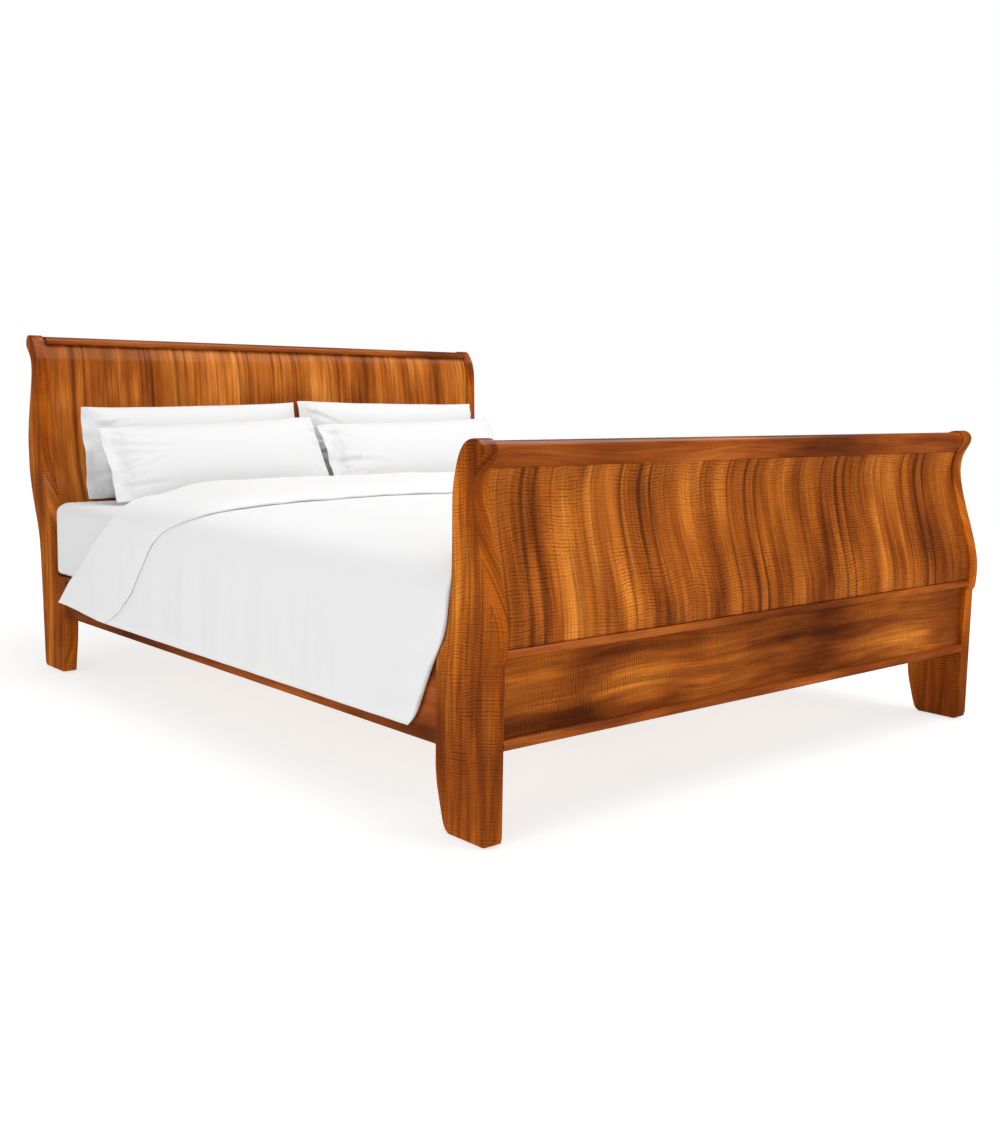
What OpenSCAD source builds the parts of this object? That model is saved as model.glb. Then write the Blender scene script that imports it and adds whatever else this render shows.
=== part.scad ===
// Sleigh bed for a king size mattress, made up with bedding. The mattress lies
// on the slats and side rails, between the curved edges of the posts.
// The foot of the bed is at -Y, the head at +Y and the floor at Z = 0.
// The curved outlines are drawn in a side view: the first number is the depth
// from the outer face of the foot leg (or from the front face of the head leg),
// and the second number is the height above the floor.

/* [Mattress] */
// Width of the mattress
mattress_w = 1914; // [1880:1:1914]
// Length of the mattress
mattress_l = 2028; // [2000:1:2028]
// Thickness of the mattress
mattress_h = 240; // [200:1:240]
// Thickness of the fitted sheet
sheet_t = 2; // [1:0.5:3]

/* [Posts and rails] */
// Thickness of the four sawn posts
post_t = 42; // [38:1:50]
// Clear width between the posts
clear_w = 1836; // [1830:1:1840]
// Length of a side rail, between the legs
rail_l = 2015; // [1990:1:2040]
// Thickness of a side rail
rail_t = 30; // [26:1:34]
// Height of a side rail
rail_h = 133; // [120:1:140]
// Height of the side rail's lower edge
rail_z = 195; // [185:1:205]
// How far the side rail's face sits behind the face of the posts
rail_setback = 2.5; // [0:0.5:4]
// Depth of the foot leg
foot_leg_d = 181; // [181:1:190]

/* [Panels] */
// Thickness of the curved footboard panel
foot_panel_t = 22; // [18:1:26]
// How far the curved footboard panel sits behind the edge of the posts
foot_recess = 8; // [5:1:12]
// Thickness of the curved headboard panel
head_panel_t = 24; // [18:1:26]
// How far the curved headboard panel sits behind the edge of the posts
head_recess = 5; // [3:1:12]
// Thickness of the flat footboard panel
lower_panel_t = 20; // [16:1:22]

/* [Slats] */
// Number of slats
slat_count = 13; // [13:1:13]
// Width of a slat
slat_w = 76; // [60:1:100]
// Thickness of a slat
slat_t = 20; // [18:1:24]
// Height of the top of the slats, where the mattress lies
slat_top = 334; // [333:1:336]

/* [Pillows] */
// Length of a pillow
pillow_l = 856; // [820:1:860]
// Height of a back pillow's face
back_pillow_w = 334; // [310:1:336]
// Height of a front pillow's face
front_pillow_w = 318; // [300:1:320]
// Thickness of a pillow
pillow_t = 118; // [90:1:125]

/* [Hidden] */

wood = "#b8641f";
wood_red = "#9c4a1c";
wood_pale = "#d9b98a";
steel = "silver";
linen = "white";
fit_gap = 0.1;
curve_steps = 4;

// Outer sizes of the frame
bed_w = clear_w + 2 * post_t;
side_x = bed_w / 2;
post_in_x = side_x - post_t;
bulge_depth = 11;
belly_depth = 283;
frame_l = bulge_depth + foot_leg_d + rail_l + belly_depth;
foot_y = bulge_depth - frame_l / 2;
rail_foot_y = foot_y + foot_leg_d;
head_y = rail_foot_y + rail_l;
rail_out_x = side_x - rail_setback;
rail_in_x = rail_out_x - rail_t;
glide_t = 2.5;
glide_r = 12;

// Heights of the footboard and headboard pieces
lower_bead_z = 209;
lower_bead_h = 24;
middle_bead_z = 410;
middle_bead_h = 21;
middle_bead_top = middle_bead_z + middle_bead_h;
bead_back = 34;
foot_cap_z = 813;
head_panel_z = 400;
head_cap_z = 1104;
lower_panel_face = 12;
inner_rail_face = 60;
inner_rail_t = 25;
head_lower_face = 82;
head_lower_t = 30;

// Side view points of the sleigh curves, from bottom to top
foot_sweep = [[-10, 430], [-11, 457], [-9, 492], [1, 537], [17, 588], [36, 642],
              [53, 698], [62, 742], [63, 774], [57, 803]];
foot_step = [[0, 388], [-1, 399], [-7, 408]];
foot_crown = [[46, 824], [36, 843], [35, 858], [43, 870], [58, 876], [76, 874],
              [93, 866], [107, 850]];
foot_inner = [[117, 828], [125, 800], [131, 765], [132, 720], [131, 640],
              [133, 565], [140, 487], [152, 443], [166, 418], [181, 401]];
foot_taper = [[181, 150], [176, 110], [166, 70], [155, 32], [147, 13], [134, glide_t]];
foot_toe = [[14, glide_t], [4, 7], [0, 22]];
head_sweep = [[76, 372], [79, 420], [93, 480], [117, 540], [149, 627], [170, 691],
              [179, 752], [183, 842], [186, 953], [190, 1035], [197, 1070], [207, 1095]];
head_shoulder = [[60, 328], [70, 338]];
head_crown = [[219, 1113], [233, 1127], [250, 1134], [266, 1130], [276, 1115],
              [275, 1097], [262, 1080], [248, 1064], [240, 1044], [238, 1014]];
head_back = [[243, 978], [260, 907], [274, 848], [282, 790], [283, 742], [279, 676],
             [265, 612], [244, 549], [223, 490], [209, 437], [203, 376], [199, 305],
             [194, 203], [189, 110], [186, 40], [183, 12], [172, glide_t]];
head_toe = [[34, glide_t], [24, 8], [21, 26], [12, 75], [4, 120], [0, 160]];
foot_cap_curve = [[57, foot_cap_z], [47, 826], [40, 843], [40, 856], [47, 866],
                  [60, 871], [76, 869], [91, 861], [103, 846], [111, 828],
                  [114, foot_cap_z]];
head_cap_curve = [[207, head_cap_z], [202, 1112], [205, 1122], [218, 1128],
                  [248, 1130], [264, 1126], [270, 1115], [263, head_cap_z]];

// Slats, ledgers and the centre beam
ledger_t = 25;
ledger_h = 32;
ledger_z = slat_top - slat_t - ledger_h;
ledger_end_gap = 18;
slat_l = 2 * rail_in_x - 6;
slat_end = 45;
slat_pitch = (rail_l - 2 * slat_end) / (slat_count - 1);
beam_w = 42;
beam_z = 245;
beam_h = slat_top - slat_t - beam_z;
beam_foot_y = foot_y + inner_rail_face + inner_rail_t;
beam_head_y = head_y + head_lower_face;
hanger_t = 2.5;
hanger_l = 45;
centre_leg_w = 48;
centre_leg_y = [-640, -40, 560];
leg_bolt_r = 4;

// Bed hook hardware at the four rail ends
plate_t = 3;
plate_w = 16;
plate_h = 104;
plate_x = rail_out_x - rail_t / 2;
plate_z = rail_z + (rail_h - plate_h) / 2;
slot_w = 5.5;
slot_h = 24;
slot_z = [plate_z + 24, plate_z + 70];
screw_z = [plate_z + 6, plate_z + 53.5];
strike_screw_y = -0.15;
hook_screw_y = 0.35;
hook_t = 4.5;
hook_neck_h = 16;
hook_lip = 8;
hook_reach = 9;
pocket_w = 8;
pocket_d = 16;

// Screws and dowels
screw_r = 2;
screw_head_r = 4;
screw_head_h = 2.2;
plate_screw_l = 25;
ledger_screw_l = 44;
ledger_screw_count = 8;
slat_screw_l = 40;
slat_screw_x = rail_in_x - ledger_t / 2;
dowel_r = 4;
dowel_l = 50;

// Bedding
bed_clear = 0.4;
mattress_z = slat_top + bed_clear;
mattress_top = mattress_z + mattress_h;
sheet_top = mattress_top + sheet_t;
mattress_y = 20;
mattress_foot_r = 80;
mattress_head_r = 30;
mattress_edge_r = 22;
sheet_tuck = 140;
duvet_z = sheet_top + bed_clear;
duvet_top = 640;
duvet_fold_top = 664;
duvet_out_x = side_x + 25;
duvet_in_x = side_x + 1;
duvet_hem_z = 220;
duvet_end_x = post_in_x - 4;
duvet_fold_x = side_x - 20;
duvet_foot_y = -1112;
duvet_end_y = -1089;
// Side view of the duvet's foot end, which follows the inner edge of the post
duvet_foot_edge = [[-975, 242], [-1048, 401], [-1061, 418], [-1075, 443],
                   [-1087, 487], [duvet_end_y, 600]];
duvet_hem_foot_y = -960;
duvet_side_head_y = 560;
duvet_hem_y = 240;
duvet_fold_y = 712;
duvet_tip = [985, 242];
duvet_shoulder_r = 36;
pillow_power = 0.75;
back_lean = 10;
back_centre = [1034, 743];
front_lean = 31;
front_centre = [878, 722];
pillow_gap = 12;
back_shift = 5;
front_shift = 15;

// A point on the smooth curve through b and c
function curve_point(a, b, c, d, t) = 0.5 * (2 * b + (c - a) * t
    + (2 * a - 5 * b + 4 * c - d) * t * t
    + (3 * b - a - 3 * c + d) * t * t * t);

// A smooth curve through every point of a list
function smooth(p) = concat(
    [for (i = [0 : len(p) - 2]) for (k = [0 : curve_steps - 1])
        curve_point(p[max(i - 1, 0)], p[i], p[i + 1], p[min(i + 2, len(p) - 1)],
                    k / curve_steps)],
    [p[len(p) - 1]]);

// The direction that points inward from a curve, at one of its points
function inward(p, i) =
    let (d = p[min(i + 1, len(p) - 1)] - p[max(i - 1, 0)])
    [d[1], -d[0]] / norm(d);

// A curve moved inward by a distance
function moved_in(p, distance) =
    [for (i = [0 : len(p) - 1]) p[i] + distance * inward(p, i)];

function reversed(p) = [for (i = [len(p) - 1 : -1 : 0]) p[i]];

foot_panel_curve = smooth(concat([foot_step[2]], foot_sweep, [foot_crown[0]]));
head_panel_curve = smooth(concat([head_shoulder[1]], head_sweep, [head_crown[0]]));
foot_panel_mid = moved_in(foot_panel_curve, foot_recess + foot_panel_t / 2);
head_panel_mid = moved_in(head_panel_curve, head_recess + head_panel_t / 2);

// Side view places of the dowels: every second point of the sweep, and the rails
footboard_dowel_at = concat(
    [for (i = [2 : 2 : 8]) foot_panel_mid[i * curve_steps]],
    [[76, 842]],
    [for (z = [270, 370]) [lower_panel_face + lower_panel_t / 2, z]],
    [for (z = [222, 254]) [inner_rail_face + inner_rail_t / 2, z]]);
headboard_dowel_at = concat(
    [for (i = [3 : 2 : 9]) head_panel_mid[i * curve_steps]],
    [[238, 1117]],
    [for (z = [230, 360]) [head_lower_face + head_lower_t / 2, z]]);

// Turns a side view outline into a board from x0 to x1, at depth datum y0
module board(y0, x0, x1) {
    translate([x0, y0, 0])
        rotate([90, 0, 90])
            linear_extrude(x1 - x0) children();
}

// Mirrors a left-hand piece to the right-hand side
module on_side(side) {
    if (side > 0) mirror([1, 0, 0]) children();
    else children();
}

module box(from, to) {
    translate(from) cube(to - from);
}

// Dowels that lie along X across both joints of a headboard or footboard
module cross_dowels(y0, places, extra) {
    for (side = [-1, 1])
        for (p = places)
            translate([side * post_in_x - dowel_l / 2 - extra, y0 + p[0], p[1]])
                rotate([0, 90, 0])
                    cylinder(r = dowel_r + extra, h = dowel_l + 2 * extra, $fn = 32);
}

module foot_dowel_set(extra) { cross_dowels(foot_y, footboard_dowel_at, extra); }
module head_dowel_set(extra) { cross_dowels(head_y, headboard_dowel_at, extra); }

// A countersunk wood screw: the head's face is at Z = 0 and it points down
module wood_screw(length, extra) {
    translate([0, 0, -length - extra])
        cylinder(r = screw_r + extra, h = length + extra, $fn = 24);
    translate([0, 0, -screw_head_h])
        cylinder(r1 = screw_r + extra, r2 = screw_head_r + extra, h = screw_head_h, $fn = 24);
}

// The hole for a wood screw, open above the screw's head
module screw_hole(length) {
    wood_screw(length, fit_gap);
    cylinder(r = screw_head_r + fit_gap, h = 1, $fn = 24);
}

// A nail-on glide: a disc on the floor with a short nail
module glide(x, y, extra) {
    translate([x, y, 0]) {
        cylinder(r = glide_r, h = glide_t, $fn = 32);
        cylinder(r = 1.3 + extra, h = 16 + extra, $fn = 24);
    }
}

glide_places = concat(
    [for (s = [-1, 1]) for (u = [38, 112]) [s * (side_x - post_t / 2), foot_y + u]],
    [for (s = [-1, 1]) for (v = [58, 148]) [s * (side_x - post_t / 2), head_y + v]],
    [for (y = centre_leg_y) [0, y]]);

module all_glides(extra) {
    for (p = glide_places) glide(p[0], p[1], extra);
}

// Places a left-hand fitting, drawn with Y = 0 at the joint and the post at -Y
module at_rail_end(end) {
    if (end == "foot") translate([-plate_x, rail_foot_y, 0]) children();
    else translate([-plate_x, head_y, 0]) mirror([0, 1, 0]) children();
}

// The screws, or the holes for them, of a strike plate and of a hook plate
module strike_screws() {
    for (z = screw_z)
        translate([0, strike_screw_y, z]) rotate([-90, 0, 0]) children();
}

module hook_screws() {
    for (z = screw_z)
        translate([0, hook_screw_y, z]) rotate([90, 0, 0]) children();
}

module strike_recess() {
    box([-plate_w / 2 - fit_gap, -plate_t, plate_z - fit_gap],
        [plate_w / 2 + fit_gap, fit_gap, plate_z + plate_h + fit_gap]);
    for (z = slot_z)
        box([-pocket_w / 2, -pocket_d, z - hook_lip - 3],
            [pocket_w / 2, 0, z + slot_h]);
    strike_screws() screw_hole(plate_screw_l);
}

module strike_plate() {
    color(steel) difference() {
        box([-plate_w / 2, -plate_t, plate_z], [plate_w / 2, 0, plate_z + plate_h]);
        for (z = slot_z)
            box([-slot_w / 2, -plate_t - 1, z], [slot_w / 2, 1, z + slot_h]);
        strike_screws() screw_hole(plate_screw_l);
    }
}

module hook_recess() {
    box([-plate_w / 2 - fit_gap, -fit_gap, plate_z - fit_gap],
        [plate_w / 2 + fit_gap, plate_t, plate_z + plate_h + fit_gap]);
    hook_screws() screw_hole(plate_screw_l);
}

module hook_plate() {
    color(steel) {
        difference() {
            box([-plate_w / 2, 0.2, plate_z], [plate_w / 2, plate_t, plate_z + plate_h]);
            hook_screws() screw_hole(plate_screw_l);
        }
        for (z = slot_z)
            translate([-hook_t / 2, 0, z + 0.5])
                rotate([90, 0, 90])
                    linear_extrude(hook_t)
                        polygon([[plate_t, 0], [plate_t, hook_neck_h],
                                 [-hook_reach, hook_neck_h], [-hook_reach, -hook_lip],
                                 [-plate_t - 0.5, -hook_lip], [-plate_t - 0.5, 0]]);
    }
}

module foot_post(side) {
    color(wood) on_side(side) difference() {
        board(foot_y, -side_x, -post_in_x)
            polygon(concat(
                smooth(foot_toe),
                smooth(concat(foot_step, foot_sweep, foot_crown, foot_inner)),
                smooth(foot_taper)));
        foot_dowel_set(fit_gap);
        at_rail_end("foot") strike_recess();
        all_glides(fit_gap);
    }
}

module head_post(side) {
    color(wood) on_side(side) difference() {
        board(head_y, -side_x, -post_in_x)
            polygon(concat(
                smooth(head_toe),
                [[0, rail_z + rail_h]],
                smooth(concat(head_shoulder, head_sweep, head_crown, head_back))));
        head_dowel_set(fit_gap);
        at_rail_end("head") strike_recess();
        all_glides(fit_gap);
    }
}

module foot_curved_panel() {
    color(wood) difference() {
        board(foot_y, -post_in_x, post_in_x)
            intersection() {
                polygon(concat(
                    moved_in(foot_panel_curve, foot_recess),
                    reversed(moved_in(foot_panel_curve, foot_recess + foot_panel_t))));
                translate([-50, middle_bead_top])
                    square([200, foot_cap_z - middle_bead_top]);
            }
        foot_dowel_set(fit_gap);
    }
}

module head_curved_panel() {
    color(wood) difference() {
        board(head_y, -post_in_x, post_in_x)
            intersection() {
                polygon(concat(
                    moved_in(head_panel_curve, head_recess),
                    reversed(moved_in(head_panel_curve, head_recess + head_panel_t))));
                translate([50, head_panel_z])
                    square([250, head_cap_z - head_panel_z]);
            }
        head_dowel_set(fit_gap);
    }
}

module foot_cap_rail() {
    color(wood_red) difference() {
        board(foot_y, -post_in_x, post_in_x) polygon(smooth(foot_cap_curve));
        foot_dowel_set(fit_gap);
    }
}

module head_cap_rail() {
    color(wood_red) difference() {
        board(head_y, -post_in_x, post_in_x) polygon(smooth(head_cap_curve));
        head_dowel_set(fit_gap);
    }
}

// A moulding with a half round nose, from depth face to depth bead_back
module bead(face, z, h) {
    color(wood_red)
        board(foot_y, -post_in_x, post_in_x) {
            translate([face + h / 2, z + h / 2]) circle(r = h / 2, $fn = 48);
            translate([face + h / 2, z]) square([bead_back - face - h / 2, h]);
        }
}

module foot_middle_bead() { bead(-9, middle_bead_z, middle_bead_h); }
module foot_lower_bead() { bead(-3, lower_bead_z, lower_bead_h); }

module foot_lower_panel() {
    color(wood) difference() {
        board(foot_y, -post_in_x, post_in_x)
            translate([lower_panel_face, lower_bead_z + lower_bead_h])
                square([lower_panel_t, middle_bead_z - lower_bead_z - lower_bead_h]);
        foot_dowel_set(fit_gap);
    }
}

module foot_inner_rail() {
    color(wood_pale) difference() {
        board(foot_y, -post_in_x, post_in_x)
            translate([inner_rail_face, lower_bead_z - 4])
                square([inner_rail_t, slat_top - lower_bead_z + 4]);
        foot_dowel_set(fit_gap);
    }
}

module head_lower_rail() {
    color(wood) difference() {
        board(head_y, -post_in_x, post_in_x)
            translate([head_lower_face, rail_z + 5])
                square([head_lower_t, head_panel_z - rail_z - 5]);
        head_dowel_set(fit_gap);
    }
}

module footboard_dowels() { color(wood_pale) foot_dowel_set(0); }
module headboard_dowels() { color(wood_pale) head_dowel_set(0); }

// A side rail: its top edge sweeps up at the foot to meet the flare of the post
module side_rail(side) {
    rail_top = rail_z + rail_h;
    ear = [[0, 398], [10, 384], [28, 364], [54, 345], [86, 332], [120, rail_top]];
    color(wood) on_side(side) difference() {
        board(rail_foot_y, -rail_out_x, -rail_in_x)
            polygon(concat([[0, rail_z]], smooth(ear),
                           [[rail_l, rail_top], [rail_l, rail_z]]));
        at_rail_end("foot") hook_recess();
        at_rail_end("head") hook_recess();
        ledger_screw_row(fit_gap);
    }
}

// Screws that hold the left-hand ledger, from its inner face into the rail
module ledger_screw_row(extra) {
    for (i = [0 : ledger_screw_count - 1])
        translate([-rail_in_x + ledger_t, rail_foot_y + 130 + i * 250,
                   ledger_z + ledger_h / 2 - 4])
            rotate([0, 90, 0]) wood_screw(ledger_screw_l, extra);
}

function slat_y(i) = rail_foot_y + slat_end + (i - 1) * slat_pitch;

module slat_screw_set(extra) {
    for (i = [1 : slat_count])
        for (side = [-1, 1])
            translate([side * slat_screw_x, slat_y(i), slat_top])
                wood_screw(slat_screw_l, extra);
}

module ledger(side) {
    color(wood_pale) on_side(side) difference() {
        box([-rail_in_x, rail_foot_y + ledger_end_gap, ledger_z],
            [-rail_in_x + ledger_t, head_y - ledger_end_gap, ledger_z + ledger_h]);
        ledger_screw_row(fit_gap);
        slat_screw_set(fit_gap);
    }
}

module ledger_screws() {
    color(steel) {
        ledger_screw_row(0);
        on_side(1) ledger_screw_row(0);
    }
}

module slat_screws() { color(steel) slat_screw_set(0); }

module slat(i) {
    color(wood_pale) difference() {
        box([-slat_l / 2, slat_y(i) - slat_w / 2, slat_top - slat_t],
            [slat_l / 2, slat_y(i) + slat_w / 2, slat_top]);
        slat_screw_set(fit_gap);
    }
}

module leg_bolt_set(extra) {
    for (y = centre_leg_y)
        translate([0, y, beam_z - 45 - extra])
            cylinder(r = leg_bolt_r + extra, h = 85 + 2 * extra, $fn = 32);
}

module centre_beam() {
    color(wood_pale) difference() {
        box([-beam_w / 2, beam_foot_y + hanger_t, beam_z],
            [beam_w / 2, beam_head_y - hanger_t, beam_z + beam_h]);
        leg_bolt_set(fit_gap);
    }
}

// A steel cradle that carries one end of the beam; its back plate is at Y = 0
module beam_hanger() {
    back_w = beam_w / 2 + 20;
    color(steel) {
        box([-back_w, 0, beam_z + 16], [back_w, hanger_t, beam_z + beam_h]);
        difference() {
            box([-beam_w / 2 - hanger_t, 0, beam_z - hanger_t],
                [beam_w / 2 + hanger_t, hanger_l, beam_z + beam_h - 8]);
            box([-beam_w / 2, hanger_t, beam_z],
                [beam_w / 2, hanger_l + 1, beam_z + beam_h]);
        }
    }
}

module beam_hanger_foot() { translate([0, beam_foot_y, 0]) beam_hanger(); }
module beam_hanger_head() {
    translate([0, beam_head_y, 0]) mirror([0, 1, 0]) beam_hanger();
}

module centre_leg(i) {
    half = centre_leg_w / 2;
    y = centre_leg_y[i - 1];
    color(wood_pale) difference() {
        box([-half, y - half, glide_t], [half, y + half, beam_z]);
        leg_bolt_set(fit_gap);
        all_glides(fit_gap);
    }
}

module centre_leg_bolts() { color(steel) leg_bolt_set(0); }
module floor_glides() { color("dimgray") all_glides(0); }

module plate_screws() {
    color(steel)
        for (side = [-1, 1]) for (end = ["foot", "head"])
            on_side(side) at_rail_end(end) {
                strike_screws() wood_screw(plate_screw_l, 0);
                hook_screws() wood_screw(plate_screw_l, 0);
            }
}

// A slab the size of the mattress, less an inset, with round corners in plan
module rounded_slab(inset, z0, z1) {
    half_w = mattress_w / 2 - inset;
    half_l = mattress_l / 2 - inset;
    foot_r = mattress_foot_r - inset;
    head_r = mattress_head_r - inset;
    translate([0, mattress_y, z0])
        linear_extrude(z1 - z0) {
            translate([-half_w, foot_r - half_l])
                square([2 * half_w, 2 * half_l - foot_r - head_r]);
            translate([foot_r - half_w, -half_l]) square([2 * (half_w - foot_r), foot_r]);
            translate([head_r - half_w, half_l - head_r])
                square([2 * (half_w - head_r), head_r]);
            for (s = [-1, 1]) {
                translate([s * (half_w - foot_r), foot_r - half_l]) circle(r = foot_r, $fn = 64);
                translate([s * (half_w - head_r), half_l - head_r]) circle(r = head_r, $fn = 64);
            }
        }
}

// A rectangle with round corners, centred on X = 0, from height z0 to z1
module round_rectangle(w, z0, z1, r) {
    translate([-w / 2, z0 + r]) square([w, z1 - z0 - 2 * r]);
    translate([r - w / 2, z0]) square([w - 2 * r, z1 - z0]);
    for (s = [-1, 1]) for (z = [z0 + r, z1 - r])
        translate([s * (w / 2 - r), z]) circle(r = r, $fn = 32);
}

// The same slab with its top and bottom edges rounded too
module soft_slab(inset, z0, z1) {
    w = mattress_w - 2 * inset;
    l = mattress_l - 2 * inset;
    r = mattress_edge_r - inset;
    intersection() {
        rounded_slab(inset, z0, z1);
        translate([0, mattress_y + l / 2, 0])
            rotate([90, 0, 0]) linear_extrude(l) round_rectangle(w, z0, z1, r);
        translate([-w / 2, mattress_y, 0])
            rotate([90, 0, 90]) linear_extrude(w) round_rectangle(l, z0, z1, r);
    }
}

module mattress() {
    color(linen) soft_slab(sheet_t + fit_gap, mattress_z + sheet_t, mattress_top - fit_gap);
}

module fitted_sheet() {
    color(linen) difference() {
        soft_slab(0, mattress_z, sheet_top);
        soft_slab(sheet_t, mattress_z + sheet_t - fit_gap, mattress_top);
        translate([sheet_tuck - mattress_w / 2, mattress_y + sheet_tuck - mattress_l / 2,
                   mattress_z - 1])
            cube([mattress_w - 2 * sheet_tuck, mattress_l - 2 * sheet_tuck, sheet_t + 2]);
    }
}

// The duvet: a quilt over the mattress that hangs outside both side rails,
// with its head end folded back over itself
module duvet() {
    r = duvet_shoulder_r;
    color(linen) {
        intersection() {
            translate([0, duvet_side_head_y, 0])
                rotate([90, 0, 0])
                    linear_extrude(duvet_side_head_y - duvet_end_y)
                        difference() {
                            union() {
                                translate([-duvet_out_x, duvet_hem_z])
                                    square([2 * duvet_out_x, duvet_top - r - duvet_hem_z]);
                                translate([r - duvet_out_x, duvet_hem_z])
                                    square([2 * (duvet_out_x - r), duvet_top - duvet_hem_z]);
                                for (s = [-1, 1])
                                    translate([s * (duvet_out_x - r), duvet_top - r])
                                        circle(r = r, $fn = 48);
                            }
                            translate([-duvet_in_x, duvet_hem_z - 1])
                                square([2 * duvet_in_x, duvet_z - duvet_hem_z + 1]);
                        }
            board(0, -duvet_out_x, duvet_out_x)
                polygon(concat([[duvet_side_head_y, duvet_hem_z], [duvet_hem_foot_y, duvet_hem_z]],
                               duvet_foot_edge,
                               [[duvet_end_y, duvet_top], [duvet_side_head_y, duvet_top]]));
        }
        box([-duvet_end_x, duvet_foot_y, duvet_z], [duvet_end_x, duvet_end_y, duvet_top]);
        box([-duvet_fold_x, duvet_hem_y, duvet_z], [duvet_fold_x, duvet_fold_y, duvet_fold_top]);
        for (side = [-1, 1]) on_side(side)
            board(0, -duvet_out_x, -duvet_in_x)
                polygon([[duvet_side_head_y, duvet_hem_z], duvet_tip,
                         [duvet_side_head_y, duvet_top - 2 * r]]);
    }
}

// A bed pillow leaning back towards the headboard, as a closed pad
module pillow(centre, lean, x, w) {
    outline = [for (a = [0 : 10 : 350])
        [sign(cos(a)) * pow(abs(cos(a)), pillow_power) * pillow_t / 2,
         sign(sin(a)) * pow(abs(sin(a)), pillow_power) * w / 2]];
    color(linen)
        translate([x - pillow_l / 2, centre[0], centre[1]])
            rotate([90, 0, 90])
                linear_extrude(pillow_l)
                    rotate(-lean) polygon(outline);
}

pillow_x = (pillow_l + pillow_gap) / 2;

foot_post(-1);  // foot_post_left
foot_post(1);  // foot_post_right
head_post(-1);  // head_post_left
head_post(1);  // head_post_right
foot_curved_panel();
foot_cap_rail();
foot_middle_bead();
foot_lower_panel();
foot_lower_bead();
foot_inner_rail();
footboard_dowels();
head_curved_panel();
head_cap_rail();
head_lower_rail();
headboard_dowels();
side_rail(-1);  // side_rail_left
side_rail(1);  // side_rail_right
ledger(-1);  // ledger_left
ledger(1);  // ledger_right
ledger_screws();
slat_screws();
centre_beam();
beam_hanger_foot();
beam_hanger_head();
for (i = [1 : 3])
    centre_leg(i);
centre_leg_bolts();
floor_glides();
for (side = [-1, 1]) for (end = ["foot", "head"]) {
    hand = side < 0 ? "left" : "right";
    on_side(side) at_rail_end(end) strike_plate();
    on_side(side) at_rail_end(end) hook_plate();
}
plate_screws();
for (i = [1 : slat_count])
    slat(i);
mattress();
fitted_sheet();
duvet();
pillow(back_centre, back_lean, back_shift - pillow_x, back_pillow_w);  // pillow_back_left
pillow(back_centre, back_lean, back_shift + pillow_x, back_pillow_w);  // pillow_back_right
pillow(front_centre, front_lean, front_shift - pillow_x, front_pillow_w);  // pillow_front_left
pillow(front_centre, front_lean, front_shift + pillow_x, front_pillow_w);  // pillow_front_right
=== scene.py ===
import math

import bpy
import numpy as np
from mathutils import Matrix, Vector, noise


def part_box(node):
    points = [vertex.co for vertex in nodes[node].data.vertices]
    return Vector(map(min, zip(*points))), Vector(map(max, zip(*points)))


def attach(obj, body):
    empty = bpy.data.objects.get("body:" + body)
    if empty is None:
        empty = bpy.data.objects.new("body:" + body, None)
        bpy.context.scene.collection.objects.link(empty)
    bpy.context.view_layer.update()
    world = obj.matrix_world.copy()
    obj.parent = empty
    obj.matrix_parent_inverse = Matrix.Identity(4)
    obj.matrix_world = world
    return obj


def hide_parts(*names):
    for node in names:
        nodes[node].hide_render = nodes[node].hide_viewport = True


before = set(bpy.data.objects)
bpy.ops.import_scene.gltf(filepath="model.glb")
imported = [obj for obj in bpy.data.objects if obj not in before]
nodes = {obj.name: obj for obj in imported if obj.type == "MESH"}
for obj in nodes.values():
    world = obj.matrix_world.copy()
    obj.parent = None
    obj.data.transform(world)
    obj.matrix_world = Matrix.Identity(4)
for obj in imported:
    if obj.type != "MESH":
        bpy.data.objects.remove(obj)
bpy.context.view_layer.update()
scene = bpy.context.scene
scene.view_settings.view_transform = "Standard"

MM = 0.001
TAU = 2 * math.pi


# ---------------------------------------------------------------- small helpers

def smoothstep(low, high, value):
    """0 below low, 1 above high, and a smooth turn between them."""
    t = np.clip((value - low) / (high - low), 0, 1)
    return t * t * (3 - 2 * t)


def curve_at(values, at):
    """The smooth curve through equally spaced values, read at places counted in values."""
    p = np.asarray(values, float)
    at = np.clip(np.asarray(at, float), 0, len(p) - 1)
    i = np.minimum(at.astype(int), len(p) - 2)
    t = at - i
    a = p[np.maximum(i - 1, 0)]
    b = p[i]
    c = p[i + 1]
    d = p[np.minimum(i + 2, len(p) - 1)]
    return 0.5 * (
        2 * b + (c - a) * t + (2 * a - 5 * b + 4 * c - d) * t * t
        + (3 * b - a - 3 * c + d) * t ** 3
    )


def wander(points, size, seed):
    """Smooth noise from about -1 to 1 at each point, with bumps of about that size in metres."""
    shift = Vector((seed * 7.31, seed * 3.77, seed * 5.13))
    return np.array([noise.noise(Vector(p) / size + shift) for p in points])


def mesh_object(name, points, faces):
    mesh = bpy.data.meshes.new(name)
    mesh.from_pydata([tuple(p) for p in points], [], faces)
    mesh.polygons.foreach_set("use_smooth", [True] * len(mesh.polygons))
    mesh.update()
    obj = bpy.data.objects.new(name, mesh)
    scene.collection.objects.link(obj)
    return obj


def face_outward(obj):
    """Turns the faces of a closed mesh outward."""
    bpy.context.view_layer.objects.active = obj
    bpy.ops.object.select_all(action="DESELECT")
    obj.select_set(True)
    bpy.ops.object.mode_set(mode="EDIT")
    bpy.ops.mesh.select_all(action="SELECT")
    bpy.ops.mesh.normals_make_consistent(inside=False)
    bpy.ops.object.mode_set(mode="OBJECT")


def place(obj, body, slot, material, *replaced):
    """Puts a finished soft piece on its body, in place of its plain CAD solid."""
    obj.data.materials.append(material)
    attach(obj, body)
    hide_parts(*replaced)


# ---------------------------------------------------------------- camera

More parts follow.
